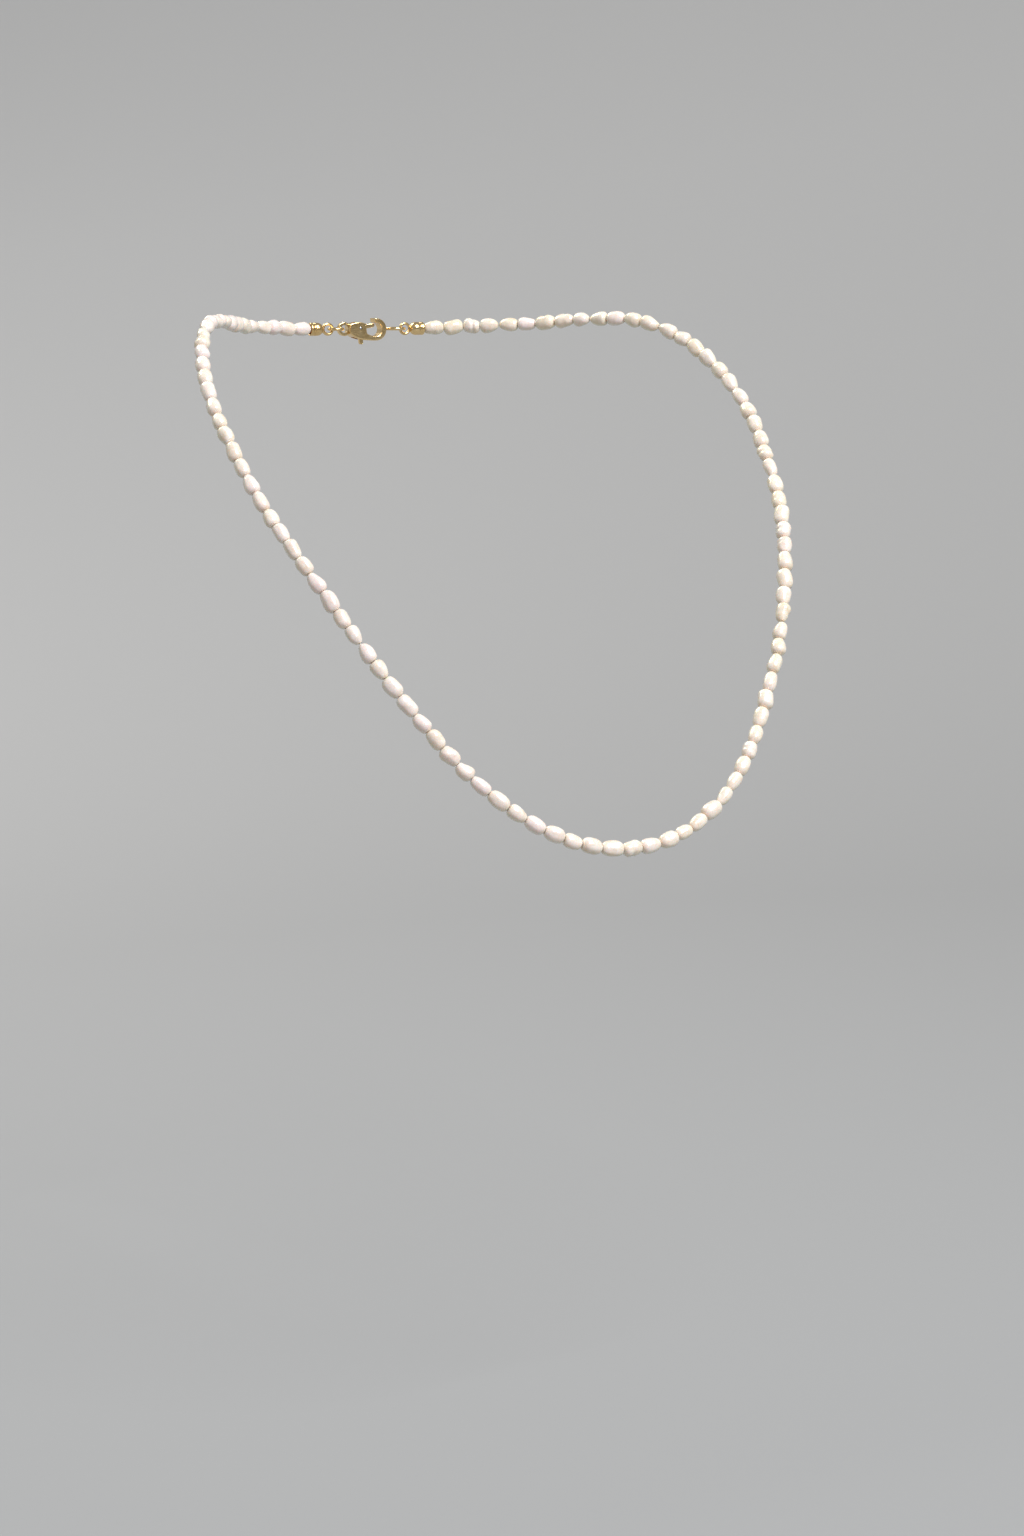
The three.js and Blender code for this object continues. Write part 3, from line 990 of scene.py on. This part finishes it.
def plate(outline, thickness):
    """A flat plate in the XZ plane from (x, z) points."""
    count = len(outline)
    points = [(x, side * thickness / 2, z) for side in (-1, 1) for x, z in outline]
    faces = [tuple(range(count)), tuple(range(count, 2 * count))[::-1]]
    faces += [(i, (i + 1) % count, count + (i + 1) % count, count + i) for i in range(count)]
    return mm_object(points, faces)


def arc(centre, radius, start, end, steps):
    """(x, z) points on an arc, with angles in degrees."""
    angles = [math.radians(start + (end - start) * i / steps) for i in range(steps + 1)]
    return [(centre[0] + radius * math.cos(a), centre[1] + radius * math.sin(a)) for a in angles]


def disc(centre, radius, steps):
    """(x, z) outline of a disc."""
    return arc(centre, radius, 0, 360, steps)[:-1]


def curve(start, control, end, steps=10):
    """(x, z) points after start up to end on a quadratic curve."""
    made = []
    for i in range(1, steps + 1):
        t = i / steps
        weights = ((1 - t) ** 2, 2 * t * (1 - t), t * t)
        made.append(tuple(sum(w * c for w, c in zip(weights, row)) for row in zip(start, control, end)))
    return made


def dome(radius, start, top, angles):
    """(radius, height) points of a domed end between two heights."""
    return [(radius * math.cos(a), start + (top - start) * math.sin(a)) for a in angles]


def about_y(points, x=0.0, z=0.0):
    """Points of a shape turned about Z, turned about Y instead, at (x, z)."""
    return [(x + p[0], p[2], z + p[1]) for p in points]


def rod(radius, length, sides=40, x=0.0, z=0.0):
    """A throwaway rod along Y."""
    half = length / 2
    points, faces = lathe([(0, -half), (radius, -half), (radius, half), (0, half)], sides)
    return mm_object(about_y(points, x, z), faces)


def box(low, high):
    """A throwaway box between two corners."""
    points = list(itertools.product(*zip(low, high)))
    faces = [(0, 1, 3, 2), (4, 6, 7, 5), (0, 4, 5, 1), (2, 3, 7, 6), (0, 2, 6, 4), (1, 5, 7, 3)]
    return mm_object(points, faces)


def end_cap(side):
    """A bullet-shaped cup with a rolled mouth and two turned lines, and the eye soldered to its tip."""
    inner, lip = CAP_RADIUS - CAP_WALL, CAP_WALL / 2
    outline = [(inner, 0.0)]
    outline += [
        (CAP_RADIUS - lip + lip * math.cos(a), -CAP_LIP_PAST + lip * math.sin(a))
        for a in np.linspace(-math.pi * 0.75, 0, 7)
    ]
    for line in CAP_LINES:
        outline += [
            (CAP_RADIUS, line - CAP_LINE["half_width"]),
            (CAP_RADIUS - CAP_LINE["depth"], line),
            (CAP_RADIUS, line + CAP_LINE["half_width"]),
        ]
    outline += dome(CAP_RADIUS, CAP_BARREL, CAP_LENGTH, np.linspace(0, math.pi / 2, 12)[:-1])
    outline += [(0, CAP_LENGTH), (0, CAP_LENGTH - CAP_WALL)]
    outline += dome(inner, CAP_BARREL_INSIDE, CAP_LENGTH - CAP_WALL, np.linspace(math.pi / 2, 0, 9)[1:])
    points, faces = lathe(outline, CAP_SIDES)
    cup = mm_object([(p[2], p[0], p[1]) for p in points], faces)
    points, faces = wire_ring(CAP_EYE["ring"], CAP_EYE["wire"], along="Y", steps=64, sides=16)
    centre = Vector((CAP_LENGTH + CAP_EYE["from_cap"], 0, 0))
    combine(cup, mm_object([p + centre for p in points], faces), "UNION")
    if side > 0:
        cup.data.transform(Matrix.Rotation(math.pi, 4, "Z"))
    return cup


def clasp_body():
    """The claw, cast and polished, so its edges are round. Its slot and holes are cut through it."""
    hook, outer, inner, tip = (CLASP[key] for key in ("hook", "hook_outer", "hook_inner", "hook_tip"))
    outline = [CLASP["neck_below"]]
    outline += curve(CLASP["neck_below"], CLASP["belly_bend"], CLASP["belly"])
    outline += curve(CLASP["belly"], CLASP["hook_bend"], (hook[0], hook[1] - outer))
    outline += arc(hook, outer, -90, tip, 36)[1:]
    outline += arc(hook, inner, tip, -90, 30)
    outline += curve((hook[0], hook[1] - inner), CLASP["throat_bend"], CLASP["throat"])
    outline.append(CLASP["back"])
    outline += curve(CLASP["back"], CLASP["back_bend"], CLASP["neck_above"])
    claw = plate(outline, CLASP["thickness"] + CLAW_CAST["shrink"])
    soften(claw, CLAW_CAST)
    shrink = EYE_CAST["shrink"]
    eye = plate(disc((0, 0), CLASP["eye_outer"] + shrink, 64), CLASP["eye_thickness"] + shrink)
    soften(eye, EYE_CAST)
    combine(claw, eye, "UNION")
    first, last = CLASP["slot_reach"]
    half = CLASP["slot"] / 2
    combine(claw, box((first, -half, -SLOT_CUT / 2), (last, half, SLOT_CUT / 2)), "DIFFERENCE")
    combine(claw, rod(CLASP["eye_hole"] + EYE_EASE, EYE_CUT), "DIFFERENCE")
    x, z = CLASP["pivot"]
    combine(claw, rod(PIN["hole"], PIN_CUT, x=x, z=z), "DIFFERENCE")
    return claw


def bar(start, end, half_width, steps=14):
    """(x, z) outline of a round-ended bar."""
    along = math.degrees(math.atan2(end[1] - start[1], end[0] - start[0]))
    near = arc(start, half_width, along + 90, along + 270, steps)
    return near + arc(end, half_width, along - 90, along + 90, steps)


def clasp_lever():
    """The lever: hub, gate and thumb lug in one, with soft edges."""
    pivot, thickness = CLASP["pivot"], LEVER["thickness"]
    lever = plate(disc(pivot, LEVER["hub"], 48), thickness)
    for end in (LEVER["gate_end"], LEVER["lug_end"]):
        arm = plate(bar(pivot, end, LEVER["half_width"]), thickness - LEVER["arm_inset"])
        combine(lever, arm, "UNION")
    soften(lever, LEVER_CAST)
    combine(lever, rod(PIN["lever_hole"], LEVER_CUT, x=pivot[0], z=pivot[1]), "DIFFERENCE")
    lever.data.transform(Matrix.Translation((0, LEVER["offset"], 0)))
    return lever


def clasp_pin():
    """A rivet along Y with domed ends."""
    top = CLASP["thickness"] / 2 + PIN["head_past"]
    head = dome(PIN["radius"], top - PIN["dome"], top, np.linspace(0, math.pi / 2, 6)[:-1])
    outline = [(0, -top)] + [(r, -h) for r, h in head[::-1]] + head + [(0, top)]
    points, faces = lathe(outline, PIN["sides"])
    return about_y(points, *CLASP["pivot"]), faces


def clasp_spring():
    """The torsion spring's coil with a leg at each end."""
    x, z = CLASP["pivot"]
    steps = round(SPRING_STEPS_PER_TURN * SPRING["turns"])
    path = []
    for i in range(steps + 1):
        turns = SPRING["turns"] * i / steps
        a = TURN * turns
        y = SPRING["start"] + SPRING["pitch"] * turns
        path.append(Vector((x + SPRING["ring"] * math.cos(a), y, z + SPRING["ring"] * math.sin(a))))
    leg = [Vector((0, 0, SPRING["leg"] * (i + 1) / SPRING_LEG_STEPS)) for i in range(SPRING_LEG_STEPS)]
    first = [path[0] - down for down in leg[::-1]]
    last = [path[-1] - down for down in leg]
    return tube(first + path + last, SPRING["wire"], SPRING_SIDES)


def both_ways(half):
    """A whole outline from the half on one side of its middle."""
    return [(radius, -height) for radius, height in half[:0:-1]] + half


def crimp():
    """A crushed bead: a short tube with a waist where the pliers closed on it."""
    points, faces = lathe(both_ways(CRIMP_OUTSIDE) + both_ways(CRIMP_BORE)[::-1], CRIMP_SIDES)
    return [(p[2], p[0], p[1] * CRIMP_FLATNESS) for p in points], faces


def add_clasp():
    for side, name in ((-1, "left"), (1, "right")):
        cap = finished(end_cap(side), f"{name}_cap", side * CAP_MOUTH, GOLD)
        hold(cap, f"{name}_tail", f"{name}_end_cap")
        points, faces = crimp()
        points = at_nape(points, side * (CAP_MOUTH - CRIMP_IN_CAP))
        bead = add_piece(f"{name}_crimp_bead", points, faces, GOLD)
        hold(bead, f"{name}_tail", f"{name}_crimp")

    points, faces = wire_ring(JUMP_RING["ring"], JUMP_RING["wire"], gap=JUMP_RING_CUT)
    turn = Quaternion((0, 0, 1), JUMP_RING_CUT_AT)
    ring = add_piece("open_jump_ring", at_nape([turn @ p for p in points], JUMP_RING_AT), faces, GOLD)
    hold(ring, "jump_ring", "jump_ring")
    points, faces = wire_ring(END_RING["ring"], END_RING["wire"], steps=104)
    ring = add_piece("closed_end_ring", at_nape(points, END_RING_AT), faces, GOLD)
    hold(ring, "end_ring", "end_ring")

    hold(finished(clasp_body(), "claw", CLASP_AT, GOLD), "clasp", "clasp_body")
    hold(finished(clasp_lever(), "claw_lever", CLASP_AT, GOLD), "clasp_lever", "clasp_lever")
    for name, node, (points, faces) in (
        ("claw_rivet", "clasp_pin", clasp_pin()),
        ("claw_spring", "clasp_spring", clasp_spring()),
    ):
        hold(add_piece(name, at_nape(points, CLASP_AT), faces, STEEL), "clasp", node)


string_thread(string_pearls())
add_clasp()

# ---------------------------------------------------------------- floor and light

FLOOR_Z = -0.212
STAGE_FLAT = 0.55
STAGE_FLAT_RINGS = (0, 0.4, 0.8)
STAGE_CURVE = 1.5
STAGE_TOP = 0.66
STAGE_STEPS = 28
STAGE_SIDES = 96
# The ground is paler the further it is from the point below the key light, so that it looks even.
KEY_FOOT = (0.14, -0.67, FLOOR_Z)
STAGE_REACH = 2.6
GROUND_GREYS = ((0.12, 0.28), (0.22, 0.29), (0.43, 0.40), (0.77, 0.71), (1.0, 0.82))
GROUND_TINT = (0.99, 0.995, 1.0)

LAMPS_AIM = Vector((0, -0.03, -0.05))
LAMPS = {
    "key": {
        "azimuth": 12,
        "elevation": 48,
        "distance": 1.0,
        "size": (0.5, 0.6),
        "power": 16.0,
        "colour": (0.96, 0.98, 1.0),
    },
    "back": {
        "azimuth": 200,
        "elevation": 45,
        "distance": 1.1,
        "size": (0.6, 0.5),
        "power": 5.5,
        "colour": (1.0, 0.98, 0.95),
    },
}
WORLD_COLOUR = (1.0, 0.975, 0.94, 1)
WORLD_STRENGTH = 0.34


def ground_material():
    """A plain matt grey, paler away from the key light."""
    n = Nodes("ground")
    foot = n.add("ShaderNodeVectorMath", {0: n.place, 1: KEY_FOOT}, operation="DISTANCE")
    far = n.math("DIVIDE", foot.outputs["Value"], STAGE_REACH)
    shades = [(place, tuple(grey * part for part in GROUND_TINT)) for place, grey in GROUND_GREYS]
    n.set(
        Base_Color=n.ramp(far, *shades),
        Roughness=n.ramp(n.noise(3.5, detail=4), (0.3, 0.85), (0.7, 0.95)),
        Specular_IOR_Level=0.2,
    )
    return n.material


def add_stage():
    """A pale floor that curves up into a low wall all round, so every view sees the same plain ground."""
    outline = [(STAGE_FLAT * t, FLOOR_Z) for t in STAGE_FLAT_RINGS]
    steepest = math.acos(1 - (STAGE_TOP - FLOOR_Z) / STAGE_CURVE)
    outline += [
        (STAGE_FLAT + STAGE_CURVE * math.sin(a), FLOOR_Z + STAGE_CURVE * (1 - math.cos(a)))
        for a in np.linspace(0, steepest, STAGE_STEPS)
    ]
    points, faces = lathe(outline[::-1], STAGE_SIDES, closed=False)
    mesh = bpy.data.meshes.new("floor")
    mesh.from_pydata(points, [], faces)
    mesh.shade_smooth()
    mesh.materials.append(ground_material())
    floor = bpy.data.objects.new("floor", mesh)
    bpy.context.scene.collection.objects.link(floor)


def add_lamp(name, azimuth, elevation, distance, size, power, colour):
    """A soft rectangle of light that faces the necklace."""
    towards = direction(azimuth, elevation)
    lamp = bpy.data.lights.new(name, "AREA")
    lamp.shape = "RECTANGLE"
    lamp.size, lamp.size_y = size
    lamp.energy = power
    lamp.color = colour
    made = bpy.data.objects.new(name, lamp)
    made.location = LAMPS_AIM + towards * distance
    made.rotation_euler = (-towards).to_track_quat("-Z", "Y").to_euler()
    made.visible_camera = False
    bpy.context.scene.collection.objects.link(made)


def add_world():
    world = bpy.data.worlds.new("studio")
    world.use_nodes = True
    background = world.node_tree.nodes["Background"]
    background.inputs["Color"].default_value = WORLD_COLOUR
    background.inputs["Strength"].default_value = WORLD_STRENGTH
    bpy.context.scene.world = world


add_stage()
for lamp_name, settings in LAMPS.items():
    add_lamp(lamp_name, **settings)
add_world()
